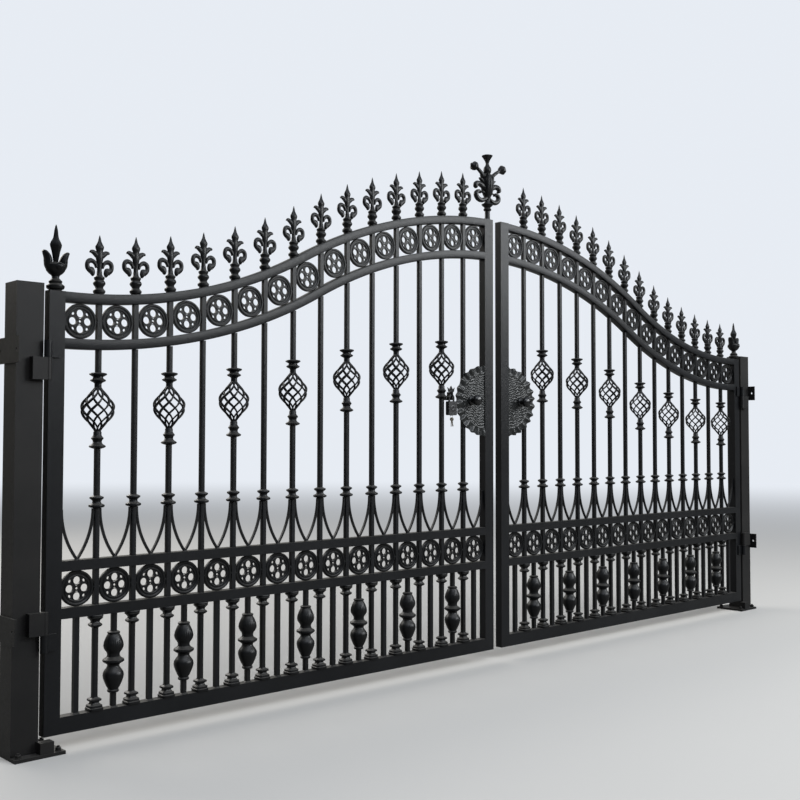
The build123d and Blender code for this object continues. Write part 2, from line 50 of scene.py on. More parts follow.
def paint(name, color, warm, rough=0.36, grain=0.6, grain_size=900.0, dust_and_sheen=0.25, shine=0.21):
    """Satin black paint: brushed-out orange peel, faint colour drift and, on upward faces, a pale coat that
    is part dusting and part painted sheen.
    """
    material = bpy.data.materials.new(name)
    material.use_nodes = True
    nodes = material.node_tree.nodes
    links = material.node_tree.links
    shader = nodes["Principled BSDF"]
    place = nodes.new("ShaderNodeTexCoord")
    drift = nodes.new("ShaderNodeTexNoise")
    drift.inputs["Scale"].default_value = 3.5
    drift.inputs["Detail"].default_value = 6.0
    links.new(place.outputs["Object"], drift.inputs["Vector"])
    tone = nodes.new("ShaderNodeValToRGB")
    tone.color_ramp.elements[0].position = 0.35
    tone.color_ramp.elements[0].color = (*color, 1)
    tone.color_ramp.elements[1].position = 0.7
    tone.color_ramp.elements[1].color = (*warm, 1)
    links.new(drift.outputs["Fac"], tone.inputs["Fac"])
    # Upward faces get a pale coat in patches, from the mask and colour below: part dusting, part painted
    # sheen where the tops catch the sky.
    shape = nodes.new("ShaderNodeNewGeometry")
    split = nodes.new("ShaderNodeSeparateXYZ")
    links.new(shape.outputs["Normal"], split.inputs["Vector"])
    upward_dust_and_sheen = nodes.new("ShaderNodeMapRange")
    upward_dust_and_sheen.inputs["From Min"].default_value = 0.35
    upward_dust_and_sheen.inputs["From Max"].default_value = 0.95
    upward_dust_and_sheen.inputs["To Max"].default_value = dust_and_sheen
    links.new(split.outputs["Z"], upward_dust_and_sheen.inputs["Value"])
    speck = nodes.new("ShaderNodeTexNoise")
    speck.inputs["Scale"].default_value = 60.0
    speck.inputs["Detail"].default_value = 8.0
    links.new(place.outputs["Object"], speck.inputs["Vector"])
    patchy_dust_and_sheen = nodes.new("ShaderNodeMath")
    patchy_dust_and_sheen.operation = "MULTIPLY"
    links.new(upward_dust_and_sheen.outputs["Result"], patchy_dust_and_sheen.inputs[0])
    links.new(speck.outputs["Fac"], patchy_dust_and_sheen.inputs[1])
    dust_and_sheen_coat = nodes.new("ShaderNodeMix")
    dust_and_sheen_coat.data_type = "RGBA"
    dust_and_sheen_coat.inputs["B"].default_value = (0.16, 0.15, 0.135, 1)
    links.new(patchy_dust_and_sheen.outputs[0], dust_and_sheen_coat.inputs["Factor"])
    links.new(tone.outputs["Color"], dust_and_sheen_coat.inputs["A"])
    links.new(dust_and_sheen_coat.outputs["Result"], shader.inputs["Base Color"])
    gloss = nodes.new("ShaderNodeMapRange")
    gloss.inputs["To Min"].default_value = rough - 0.06
    gloss.inputs["To Max"].default_value = rough + 0.1
    links.new(speck.outputs["Fac"], gloss.inputs["Value"])
    links.new(gloss.outputs["Result"], shader.inputs["Roughness"])
    peel = nodes.new("ShaderNodeTexNoise")
    peel.inputs["Scale"].default_value = grain_size
    peel.inputs["Detail"].default_value = 3.0
    links.new(place.outputs["Object"], peel.inputs["Vector"])
    bump = nodes.new("ShaderNodeBump")
    bump.inputs["Strength"].default_value = grain
    bump.inputs["Distance"].default_value = 0.0004
    links.new(peel.outputs["Fac"], bump.inputs["Height"])
    links.new(bump.outputs["Normal"], shader.inputs["Normal"])
    shader.inputs["Specular IOR Level"].default_value = shine
    return material


def dress(node, material, bevel=0.0):
    """Give a frame node its paint and, where its edges are rolled, a small rounded edge."""
    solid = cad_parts[node]
    for place in solid.material_slots:
        place.material = material
    if not solid.material_slots:
        solid.data.materials.append(material)
    if bevel:
        edge = solid.modifiers.new("rolled edge", "BEVEL")
        edge.width = bevel
        edge.segments = 2
        edge.limit_method = "ANGLE"
        edge.angle_limit = radians(40)
        edge.harden_normals = False


post_paint = paint("weathered black paint", (0.0075, 0.0072, 0.0072), (0.0150, 0.0138, 0.0130),
                   rough=0.42, grain=0.5, grain_size=700.0, dust_and_sheen=0.35)
for side in ("left", "right"):
    dress(side + "_post", post_paint, 0.004)
    dress(side + "_base_plate", post_paint, 0.0015)
    dress(side + "_wall_plates", post_paint, 0.001)

# Nuts and washers on the anchor bolts of the base plates. Plain hexagon steel nuts, painted
# over together with the plates, with a bolt end standing a little proud.


def join_up(parts):
    """One list of points and faces from several."""
    points = []
    faces = []
    for part_points, part_faces in parts:
        base = len(points)
        points.extend(part_points)
        faces.extend([tuple(base + corner for corner in face) for face in part_faces])
    return points, faces


def moved(part, x=0.0, y=0.0, z=0.0, turn=None):
    """A copy of a part, turned by a matrix if one is given, and then moved."""
    points = [Vector(point) for point in part[0]]
    if turn:
        points = [turn @ point for point in points]
    return [(point[0] + x, point[1] + y, point[2] + z) for point in points], part[1]


def spun(profile, sides=24, square=2.0, flutes=0, depth=0.0, low=0.0, high=0.0):
    """Form about Z from radius and height pairs.

    square above 2 makes it four-sided; flutes of a depth run from the low to the high height.
    """
    points = []
    for radius, height in profile:
        for side in range(sides):
            angle = 2 * pi * side / sides
            reach = (abs(cos(angle)) ** square + abs(sin(angle)) ** square) ** (-1 / square)
            if flutes and low < height < high:
                fade = sin(pi * (height - low) / (high - low))
                reach *= 1 + depth * fade * abs(cos(angle * flutes / 2))
            points.append((radius * reach * cos(angle), radius * reach * sin(angle), height))
    faces = []
    for ring in range(len(profile) - 1):
        for side in range(sides):
            after = (side + 1) % sides
            faces.append((ring * sides + side, ring * sides + after,
                          (ring + 1) * sides + after, (ring + 1) * sides + side))
    faces.append(tuple(range(sides))[::-1])
    faces.append(tuple(range((len(profile) - 1) * sides, len(profile) * sides)))
    return points, faces


gate_middle = 2.451


def piece(name, side, part, material, body, nodes=(), smooth=35.0):
    """Make an object of one leaf or post; the right side is the left one mirrored."""
    points, faces = part
    if side == "right":
        points = [(2 * gate_middle - x, y, z) for x, y, z in points]
        faces = [face[::-1] for face in faces]
    mesh = bpy.data.meshes.new(side + "_" + name)
    mesh.from_pydata(points, [], faces)
    mesh.validate()
    mesh.update()
    mesh.polygons.foreach_set("use_smooth", [True] * len(mesh.polygons))
    mesh.set_sharp_from_angle(angle=radians(smooth))
    mesh.materials.append(material)
    thing = bpy.data.objects.new(side + "_" + name, mesh)
    bpy.context.scene.collection.objects.link(thing)
    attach(thing, body)
    if nodes:
        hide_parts(*[side + "_" + node for node in nodes])
    return thing


washer = spun(((0.0125, 0.0), (0.0125, 0.002), (0.0115, 0.0026)), 20)
nut = spun(((0.0104, 0.0026), (0.0108, 0.0034), (0.0108, 0.0110), (0.0098, 0.0122)), 6)
bolt_end = spun(((0.0058, 0.0122), (0.0058, 0.0165), (0.0048, 0.0175)), 12)
fastener = join_up((washer, nut, bolt_end))
plate_thickness = 0.012
bolts_x = (-0.030, 0.115)
bolts_y = (-0.070, 0.070)
fasteners = [moved(fastener, x, y, plate_thickness) for x in bolts_x for y in bolts_y]
for side in ("left", "right"):
    piece("plate_nuts", side, join_up(fasteners), post_paint, "posts")

# The frames of the two leaves. Steel tube 40 mm deep with rounded corners: 60 mm stiles and
# bottom rail, 38 mm band rails, and two arch rails rolled to the same S-curve. The tubes are
# mitred or butted, welded and ground flush, then sprayed satin black.
# Its upward faces take a strong pale coat, part dusting and part painted sheen on the tops.
iron_paint = paint("satin black paint", (0.0040, 0.0043, 0.0050), (0.0075, 0.0078, 0.0088),
                   rough=0.34, grain=0.45, grain_size=800.0, dust_and_sheen=0.6)
leaf_x = 0.070
front_y = -0.050
leaf_width = 2.351
half_leaf_gap = 0.030
stile_width = 0.060
rail_height = 0.038
frame_depth = 0.040
tube_corner = 0.003
bays = 15
pitch = 0.150
bar = 0.019
ring_space = pitch - bar
bar_y = front_y + frame_depth / 2
stile_top = 1.646
arch_top = 2.232
arch_rise = arch_top - stile_top
arch_x = leaf_width + half_leaf_gap
crown_radius = 2.600
sweep_radius = 2.190
arch_run = sqrt(2 * (crown_radius + sweep_radius) * arch_rise - arch_rise ** 2)
sweep_x = arch_x - arch_run
sweep_angle = asin(arch_run / (crown_radius + sweep_radius))


def arch_z(x, inset):
    """Height of the arch line that lies inset under its upper edge, x from the hinge stile."""
    if x <= sweep_x:
        return stile_top - inset
    if x <= sweep_x + (sweep_radius + inset) * sin(sweep_angle):
        return stile_top + sweep_radius - sqrt((sweep_radius + inset) ** 2 - (x - sweep_x) ** 2)
    return arch_top - crown_radius + sqrt((crown_radius - inset) ** 2 - (arch_x - x) ** 2)


def arch_slope(x, inset):
    """Slope of an arch line, in radians."""
    step = 0.0005
    return atan2(arch_z(x + step, inset) - arch_z(x - step, inset), 2 * step)


def swept(stations, section, closed=False):
    """Sweep a closed section along stations of origin, side axis, up axis and scale."""
    points = []
    count = len(section)
    for origin, across, up, scale in stations:
        for a, b in section:
            point = Vector(origin) + Vector(across) * a * scale + Vector(up) * b * scale
            points.append(tuple(point))
    faces = []
    rings = len(stations)
    for ring in range(rings if closed else rings - 1):
        following = (ring + 1) % rings
        for corner in range(count):
            after = (corner + 1) % count
            faces.append((ring * count + corner, ring * count + after,
                          following * count + after, following * count + corner))
    if not closed:
        faces.append(tuple(range(count))[::-1])
        faces.append(tuple(range((rings - 1) * count, rings * count)))
    return points, faces


def rounded_box(width, height, radius, steps=3):
    """Section of a tube with rounded corners."""
    section = []
    for corner, (sx, sy) in enumerate(((1, 1), (-1, 1), (-1, -1), (1, -1))):
        for step in range(steps + 1):
            angle = pi / 2 * (corner + step / steps)
            section.append((sx * (width / 2 - radius) + radius * cos(angle),
                            sy * (height / 2 - radius) + radius * sin(angle)))
    return section


rail_steps = 96
for side in ("left", "right"):
    for node in ("hinge_stile", "meeting_stile", "bottom_rail", "band_rails"):
        dress(side + "_" + node, iron_paint, tube_corner)
    rails = []
    for inset in (0.0, rail_height + ring_space):
        middle_line = inset + rail_height / 2
        stations = []
        for step in range(rail_steps + 1):
            x = stile_width + (leaf_width - 2 * stile_width) * step / rail_steps
            tilt = arch_slope(x, middle_line)
            if step in (0, rail_steps):
                tilt = 0.0
            up = (-sin(tilt), 0, cos(tilt))
            stations.append(((leaf_x + x, bar_y, arch_z(x, middle_line)), (0, 1, 0), up, 1.0))
        rails.append(swept(stations, rounded_box(frame_depth, rail_height, tube_corner)))
    piece("arch_rail_tubes", side, join_up(rails), iron_paint, side + "_leaf",
          ("arch_rails",), 50)

# Square bars of the panels and the upright dividers between the rings. Hot rolled 19 mm bar
# with slightly rounded corners, welded to the rails at both ends, small weld beads showing.
panel_foot = 0.120
bar_corner = 0.0018
for side in ("left", "right"):
    for node in ("infill_bars", "dividers"):
        dress(side + "_" + node, iron_paint, 0.0015)


def square_bar(x, low, high):
    """A square bar with rounded corners standing at x from the hinge stile."""
    stations = [((leaf_x + x, bar_y, z), (1, 0, 0), (0, 1, 0), 1.0) for z in (low, high)]
    return swept(stations, rounded_box(bar, bar, bar_corner, 2))


def picket_x(number):
    """Middle of an upright, counted from the hinge stile."""
    return stile_width + number * pitch - bar / 2


def bay_x(number):
    """Middle of a clear space, counted from the hinge stile."""
    return stile_width + (number - 1) * pitch + ring_space / 2


weld = spun(((0.0135, -0.001), (0.0150, 0.0006), (0.0135, 0.0025), (0.0100, 0.0040)), 20, 5.0)
for side in ("left", "right"):
    beads = []
    for number in range(1, bays + 1, 2):
        beads.append(moved(weld, leaf_x + bay_x(number), bar_y, panel_foot))
    piece("weld_beads", side, join_up(beads), iron_paint, side + "_leaf")

# Pickets of the lower panel. Square bar with a cast stepped shoe pushed down on the bottom
# rail and a cast flared capital pushed up under the band rail, both square in plan.
# The castings' upward faces take the same strong pale coat, part dusting and part painted highlight on the
# tops.
casting_paint = paint("black paint on castings", (0.0040, 0.0042, 0.0046), (0.0085, 0.0085, 0.0088),
                      rough=0.31, grain=1.0, grain_size=380.0, dust_and_sheen=0.6)
band_foot = 0.467
capital_height = 0.0475
shoe_profile = ((0.0265, 0.0), (0.0275, 0.002), (0.0275, 0.009), (0.0262, 0.0105), (0.0245, 0.0115),
                (0.0245, 0.0185), (0.0230, 0.0205), (0.0185, 0.0220), (0.0155, 0.0260), (0.0150, 0.0300),
                (0.0175, 0.0330), (0.0215, 0.0345), (0.0222, 0.0375), (0.0215, 0.0410), (0.0180, 0.0435),
                (0.0125, 0.0455), (0.0118, 0.0475))
capital_profile = ((0.0115, 0.0), (0.0130, 0.0020), (0.0190, 0.0050), (0.0225, 0.0085), (0.0230, 0.0120),
                   (0.0205, 0.0155), (0.0160, 0.0185), (0.0145, 0.0225), (0.0160, 0.0270), (0.0205, 0.0315),
                   (0.0245, 0.0355), (0.0250, 0.0385), (0.0235, 0.0400), (0.0255, 0.0415), (0.0258, 0.0460),
                   (0.0250, 0.0475))
shoe = spun(shoe_profile, 28, 5.5)
capital = spun(capital_profile, 28, 3.6)
for side in ("left", "right"):
    parts = []
    for number in range(1, bays):
        x = picket_x(number)
        parts.append(square_bar(x, panel_foot, band_foot))
        parts.append(moved(shoe, leaf_x + x, bar_y, panel_foot))
        parts.append(moved(capital, leaf_x + x, bar_y, band_foot - capital_height))
    piece("pickets_with_shoes", side, join_up(parts), casting_paint, side + "_leaf",
          ("lower_pickets",))

# Balusters of the lower panel. A square bar carries a hollow cast pair of bulbs with a disc
# between them; the pear-shaped upper bulb has fine upright reeds.
bulb_profile = ((0.0115, 0.0520), (0.0185, 0.0540), (0.0215, 0.0565), (0.0215, 0.0620), (0.0190, 0.0650),
                (0.0200, 0.0680), (0.0250, 0.0760), (0.0320, 0.0920), (0.0370, 0.1060), (0.0388, 0.1170),
                (0.0370, 0.1270), (0.0310, 0.1370), (0.0250, 0.1440), (0.0220, 0.1510), (0.0235, 0.1570),
                (0.0330, 0.1630), (0.0390, 0.1675), (0.0397, 0.1710), (0.0385, 0.1750), (0.0300, 0.1800),
                (0.0240, 0.1860), (0.0228, 0.1930), (0.0250, 0.2010), (0.0310, 0.2090), (0.0350, 0.2180),
                (0.0357, 0.2270), (0.0335, 0.2390), (0.0290, 0.2520), (0.0240, 0.2640), (0.0205, 0.2690),
                (0.0235, 0.2715), (0.0230, 0.2760), (0.0190, 0.2785), (0.0115, 0.2795))
bulbs = spun(bulb_profile, 64, flutes=32, depth=0.045, low=0.205, high=0.268)
for side in ("left", "right"):
    parts = []
    for number in range(2, bays, 2):
        x = bay_x(number)
        parts.append(square_bar(x, panel_foot, band_foot))
        parts.append(moved(bulbs, leaf_x + x, bar_y, panel_foot))
        parts.append(moved(weld, leaf_x + x, bar_y, panel_foot))
    piece("bulb_balusters", side, join_up(parts), casting_paint, side + "_leaf",
          ("balusters",))

# Rings of the two bands. Each is one iron casting: a raised half-round rim and, set back from
# its face, a tracery plate pierced by four round lobes, a small centre hole and corner holes.


def pierced(outline, holes, half_depth, edge, steps=2):
    """Flat casting with rounded edges, from an outline and holes in the gate's plane."""
    shape = bpy.data.curves.new("outline", "CURVE")
    shape.dimensions = "2D"
    shape.fill_mode = "BOTH"
    shape.extrude = half_depth - edge
    shape.bevel_depth = edge
    shape.bevel_resolution = steps
    shape.offset = -edge
    for loop in [outline] + list(holes):
        spline = shape.splines.new("POLY")
        spline.points.add(len(loop) - 1)
        for point, (x, z) in zip(spline.points, loop):
            point.co = (x, z, 0, 1)
        spline.use_cyclic_u = True
    holder = bpy.data.objects.new("outline", shape)
    bpy.context.scene.collection.objects.link(holder)
    bpy.context.view_layer.update()
    mesh = bpy.data.meshes.new_from_object(holder.evaluated_get(bpy.context.evaluated_depsgraph_get()))
    bpy.data.objects.remove(holder)
    points = [(v.co.x, -v.co.z, v.co.y) for v in mesh.vertices]
    faces = [tuple(face.vertices) for face in mesh.polygons]
    bpy.data.meshes.remove(mesh)
    bpy.data.curves.remove(shape)
    return points, faces


def circle(x, z, radius, count, start=0.0, stretch=1.0, turn=0.0):
    """Points on a circle or oval in the gate's plane."""
    loop = []
    for step in range(count):
        angle = start + 2 * pi * step / count
        a = radius * cos(angle) * stretch
        b = radius * sin(angle)
        loop.append((x + a * cos(turn) - b * sin(turn), z + a * sin(turn) + b * cos(turn)))
    return loop


def torus(radius, width, depth, count=48, sides=10):
    """Round rim in the gate's plane, a little squared in section."""
    stations = []
    for step in range(count):
        angle = 2 * pi * step / count
        outward = (cos(angle), 0, sin(angle))
        stations.append(((radius * cos(angle), 0, radius * sin(angle)), outward, (0, 1, 0), 1.0))
    section = []
    for side in range(sides):
        angle = 2 * pi * side / sides
        reach = (abs(cos(angle)) ** 3 + abs(sin(angle)) ** 3) ** (-1 / 3)
        section.append((width / 2 * reach * cos(angle), depth / 2 * reach * sin(angle)))
    points, faces = swept(stations, section, True)
    return points, [face[::-1] for face in faces]


lobe_place = 0.0290
lobe_radius = 0.0138


def lobe(angle, steps=16):
    """A round lobe drawn to a point towards the middle of the ring."""
    loop = []
    for step in range(steps):
        turn = 2 * pi * step / steps
        reach = lobe_radius * (1 + 0.45 * max(0.0, -cos(turn)) ** 7)
        x = lobe_place + reach * cos(turn)
        z = reach * sin(turn)
        loop.append((x * cos(angle) - z * sin(angle), x * sin(angle) + z * cos(angle)))
    return loop


centre_hole = 0.0055
corner_place = 0.0385
corner_hole = 0.0044
holes = [lobe(pi / 2 * quarter) for quarter in range(4)]
holes.append([(centre_hole * cos(a), centre_hole * sin(a)) for a in (0, pi / 2, pi, 3 * pi / 2)])
for quarter in range(4):
    angle = pi / 4 + pi / 2 * quarter
    holes.append(circle(corner_place * cos(angle), corner_place * sin(angle), corner_hole, 10,
                        stretch=1.35, turn=angle + pi / 2))
outer_rim = torus(0.0592, 0.0120, 0.0156)
inner_rim = torus(0.0468, 0.0056, 0.0135, 40, 8)
tracery = pierced(circle(0, 0, 0.0550, 40), holes, 0.0036, 0.0012)
lobe_rim = torus(0.0156, 0.0030, 0.0118, 22, 6)
ring_parts = [outer_rim, inner_rim, tracery]
for quarter in range(4):
    angle = pi / 2 * quarter
    ring_parts.append(moved(lobe_rim, lobe_place * cos(angle), 0, lobe_place * sin(angle)))
ring = join_up(ring_parts)
nub = spun(((0.0002, -0.0040), (0.0040, -0.0030), (0.0050, 0.0), (0.0040, 0.0030), (0.0002, 0.0040)), 12)
nub_y = bar_y - 0.004
ring_inset = rail_height + ring_space / 2
band_middle = band_foot + ring_inset
for side in ("left", "right"):
    rings = []
    raised = []
    for number in range(1, bays + 1):
        x = bay_x(number)
        arch_middle = arch_z(x, ring_inset)
        rings.append(moved(ring, leaf_x + x, bar_y, band_middle))
        raised.append(moved(ring, leaf_x + x, bar_y, arch_middle))
        for reach in (-ring_space / 2, ring_space / 2):
            rings.append(moved(nub, leaf_x + x + reach, nub_y, band_middle))
            raised.append(moved(nub, leaf_x + x + reach, nub_y, arch_middle))
    piece("cast_band_rings", side, join_up(rings), casting_paint, side + "_leaf",
          ("band_rings",))
    piece("cast_arch_rings", side, join_up(raised), casting_paint, side + "_leaf",
          ("arch_rings",))

# Tall pickets, with their spool collars. Each even picket is a plain bar; each odd one is cut
# and holds a basket: two cast spools with a cage of sixteen thin round wires wound between
# them, eight each way, touching where they cross.
spool_profile = ((0.0105, -0.0090), (0.0140, -0.0085), (0.0240, -0.0060), (0.0285, -0.0035), (0.0295, 0.0),
                 (0.0285, 0.0032), (0.0230, 0.0060), (0.0170, 0.0095), (0.0150, 0.0150), (0.0165, 0.0200),
                 (0.0220, 0.0240), (0.0255, 0.0270), (0.0262, 0.0295), (0.0250, 0.0325), (0.0190, 0.0350),
                 (0.0135, 0.0375), (0.0105, 0.0380))
spool = spun(spool_profile, 28)
head_profile = ((0.0110, 0.0740), (0.0132, 0.0770), (0.0130, 0.0860), (0.0128, 0.0930), (0.0160, 0.0975),
                (0.0240, 0.1010), (0.0285, 0.1045), (0.0285, 0.1075), (0.0240, 0.1105), (0.0190, 0.1140),
                (0.0185, 0.1190), (0.0260, 0.1230), (0.0315, 0.1265), (0.0325, 0.1295), (0.0300, 0.1325),
                (0.0200, 0.1345), (0.0110, 0.1355))
foot_profile = ((0.0110, -0.1480), (0.0150, -0.1470), (0.0260, -0.1435), (0.0305, -0.1400), (0.0305, -0.1370),
                (0.0260, -0.1335), (0.0190, -0.1290), (0.0160, -0.1220), (0.0180, -0.1150), (0.0220, -0.1110),
                (0.0225, -0.1070), (0.0190, -0.1030), (0.0150, -0.0970), (0.0150, -0.0860), (0.0110, -0.0800))


basket_neck = 0.0095
basket_radius = 0.0610
basket_half_height = 0.082
wire_radius = 0.0034
wires_each_way = 8
wire_twist = radians(165)
crossing_depth = 0.0045


def wire(start, twist, inset, steps=36, sides=7):
    """One wire of a basket, round in section, along the onion outline."""
    path = []
    for step in range(steps + 1):
        share = step / steps
        swell = sin(pi * share) ** 1.35
        radius = basket_neck + (basket_radius - basket_neck - inset) * swell
        angle = start + twist * share
        height = basket_half_height * (2 * share - 1)
        path.append(Vector((radius * cos(angle), radius * sin(angle), height)))
    stations = []
    for step, point in enumerate(path):
        ahead = path[min(step + 1, steps)] - path[max(step - 1, 0)]
        outward = Vector((point.x, point.y, 0)).normalized()
        across = ahead.normalized().cross(outward).normalized()
        up = across.cross(ahead.normalized())
        stations.append((point, across, up, 1.0))
    section = [(wire_radius * cos(2 * pi * side / sides), wire_radius * sin(2 * pi * side / sides))
               for side in range(sides)]
    return swept(stations, section)


cage_parts = [spun(head_profile, 28), spun(foot_profile, 28)]
for number in range(wires_each_way):
    cage_parts.append(wire(2 * pi * number / wires_each_way, wire_twist, 0.0))
    cage_parts.append(wire(2 * pi * (number + 0.5) / wires_each_way, -wire_twist, crossing_depth))
cage = join_up(cage_parts)
arch_underside = 2 * rail_height + ring_space
basket_hinge_z = 1.222
basket_follow = 0.424


def basket_z(x):
    """Height of a basket's widest part, which follows a share of the arch's rise."""
    risen = arch_z(x, arch_underside) - arch_z(stile_width, arch_underside)
    return basket_hinge_z + basket_follow * risen


viewer_x = -1.58
viewer_distance = 3.65
crossing_turn = radians(90 / wires_each_way)


def basket_turn(side, x):
    """Turn of a basket on its bar, welded so that its wires line up when seen from the drive."""
    if side == "right":
        return pi - atan2(-viewer_distance, viewer_x + leaf_x + x - 2 * gate_middle) - crossing_turn
    return atan2(-viewer_distance, viewer_x - leaf_x - x) - crossing_turn


band_top = band_foot + 2 * rail_height + ring_space
collar_z = 0.866
basket_foot = 0.147
basket_head = 0.135
weld_gap = 0.001
for side in ("left", "right"):
    plain = []
    caged = []
    for number in range(1, bays):
        x = picket_x(number)
        top = arch_z(x, arch_underside) - weld_gap
        collar = moved(spool, leaf_x + x, bar_y, collar_z)
        if number % 2:
            middle = basket_z(x)
            turn = Matrix.Rotation(basket_turn(side, x), 3, "Z")
            caged.append(square_bar(x, band_top, middle - basket_foot))
            caged.append(square_bar(x, middle + basket_head, top))
            caged.append(moved(cage, leaf_x + x, bar_y, middle, turn))
            caged.append(collar)
        else:
            plain.append(square_bar(x, band_top, top))
            plain.append(collar)
    piece("plain_pickets", side, join_up(plain), iron_paint, side + "_leaf",
          ("tall_pickets",))
    piece("basket_bars", side, join_up(caged), iron_paint, side + "_leaf",
          ("basket_pickets",))

# Straps under the collars. Thin flat bar bent to a long quarter bow: it starts flat against the
# picket under the collar and swings out until it meets its neighbour in the middle of the bay.
strap_rise = 0.1828
strap_thick = 0.0085
strap_depth = 0.012
strap_reach = ring_space / 2 - strap_thick / 2
bow = (strap_reach ** 2 + strap_rise ** 2) / (2 * strap_reach)
strap_section = rounded_box(strap_thick, strap_depth, 0.0012, 1)


def strap(direction, steps=14):
    """One bent flat in front view, its foot at the origin's height."""
    stations = []
    lean = asin(strap_rise / bow)
    for step in range(steps + 1):
        angle = lean * step / steps
        x = direction * (strap_thick / 2 + bow - bow * cos(angle))
        z = strap_rise - bow * sin(angle)
        across = (direction * cos(angle), 0, sin(angle))
        stations.append(((x, 0, z), across, (0, direction, 0), 1.0))
    return swept(stations, strap_section)


foot_weld = spun(((0.0100, 0.0), (0.0095, 0.0020), (0.0060, 0.0042), (0.0010, 0.0050)), 14)
weld_sunk = 0.0005
for side in ("left", "right"):
    straps = []
    for number in range(1, bays + 1):
        x = leaf_x + bay_x(number)
        straps.append(moved(strap(1), x - ring_space / 2, bar_y, band_top))
        straps.append(moved(strap(-1), x + ring_space / 2, bar_y, band_top))
        straps.append(moved(foot_weld, x, bar_y, band_top - weld_sunk))
    piece("bent_straps", side, join_up(straps), iron_paint, side + "_leaf",
          ("arch_straps",))

# Spear finials along the arch, one welded over each picket. Flat iron castings: a foot with
# three collars, a thick ear on each side that curls over a round eye, a pair of upper lobes and
# a shouldered blade.


def curl(path, widths, depth, sides=8, steps=4):
    """Leaf or scroll in the gate's plane: a flattened bar of changing width along a smooth path."""
    line = []
    size = []
    for index in range(len(path) - 1):
        a = Vector(path[max(index - 1, 0)])
        b = Vector(path[index])
        c = Vector(path[index + 1])
        d = Vector(path[min(index + 2, len(path) - 1)])
        for step in range(steps):
            t = step / steps
            line.append(0.5 * (2 * b + (c - a) * t + (2 * a - 5 * b + 4 * c - d) * t * t
                               + (3 * b - a - 3 * c + d) * t ** 3))
            size.append(widths[index] * (1 - t) + widths[index + 1] * t)
    line.append(Vector(path[-1]))
    size.append(widths[-1])
    last = len(line) - 1
    points = []
    for index, point in enumerate(line):
        ahead = (line[min(index + 1, last)] - line[max(index - 1, 0)]).normalized()
        side = Vector((-ahead.y, ahead.x))
        for step in range(sides):
            angle = 2 * pi * step / sides
            across = size[index] / 2 * cos(angle)
            thick = depth / 2 * sin(angle) * min(1.0, size[index] / (0.6 * depth))
            points.append((point.x + side.x * across, thick, point.y + side.y * across))
    faces = []
    for ring_index in range(last):
        for step in range(sides):
            after = (step + 1) % sides
            faces.append((ring_index * sides + step, ring_index * sides + after,
                          (ring_index + 1) * sides + after, (ring_index + 1) * sides + step))
    faces.append(tuple(range(sides))[::-1])
    faces.append(tuple(range(last * sides, (last + 1) * sides)))
    return points, faces


def both_ways(part):
    """A part together with its mirror image about the middle of the ornament."""
    flipped = [(-x, y, z) for x, y, z in part[0]], [face[::-1] for face in part[1]]
    return join_up((part, flipped))


spear_foot = spun(((0.0150, -0.0100), (0.0158, 0.0020), (0.0203, 0.0050), (0.0211, 0.0090), (0.0211, 0.0140),
                   (0.0172, 0.0180), (0.0138, 0.0230), (0.0142, 0.0280), (0.0181, 0.0330), (0.0211, 0.0380),
                   (0.0211, 0.0440), (0.0185, 0.0490), (0.0155, 0.0520), (0.0168, 0.0560), (0.0185, 0.0590),
                   (0.0181, 0.0640), (0.0125, 0.0680), (0.0098, 0.0740), (0.0090, 0.0860)), 20, 2.6)
stem = spun(((0.0095, 0.0680), (0.0092, 0.0850), (0.0096, 0.1050), (0.0120, 0.1200), (0.0145, 0.1320),
             (0.0150, 0.1450), (0.0135, 0.1560), (0.0135, 0.1640), (0.0165, 0.1720), (0.0172, 0.1790),
             (0.0120, 0.1880), (0.0070, 0.1980), (0.0040, 0.2110), (0.0006, 0.2220)), 16)
stem_flatness = 0.62
stem = ([(x, y * stem_flatness, z) for x, y, z in stem[0]], stem[1])
ear = curl(((0.0265, 0.0660), (0.0275, 0.0770), (0.0325, 0.0865), (0.0450, 0.0930), (0.0490, 0.1050),
            (0.0460, 0.1175), (0.0350, 0.1235), (0.0225, 0.1195), (0.0150, 0.1100), (0.0120, 0.0980)),
           (0.004, 0.021, 0.030, 0.020, 0.017, 0.018, 0.019, 0.016, 0.013, 0.009), 0.016, 10)
upper_lobe = curl(((0.0030, 0.1360), (0.0140, 0.1480), (0.0260, 0.1560), (0.0340, 0.1570), (0.0385, 0.1535)),
                  (0.020, 0.022, 0.018, 0.013, 0.005), 0.014, 10)
spear = join_up((spear_foot, stem, both_ways(join_up((ear, upper_lobe)))))
for side in ("left", "right"):
    spears = []
    for number in range(1, bays):
        x = picket_x(number)
        spears.append(moved(spear, leaf_x + x, bar_y, arch_z(x, 0.0)))
    piece("cast_spears", side, join_up(spears), casting_paint, side + "_leaf",
          ("spear_finials",))

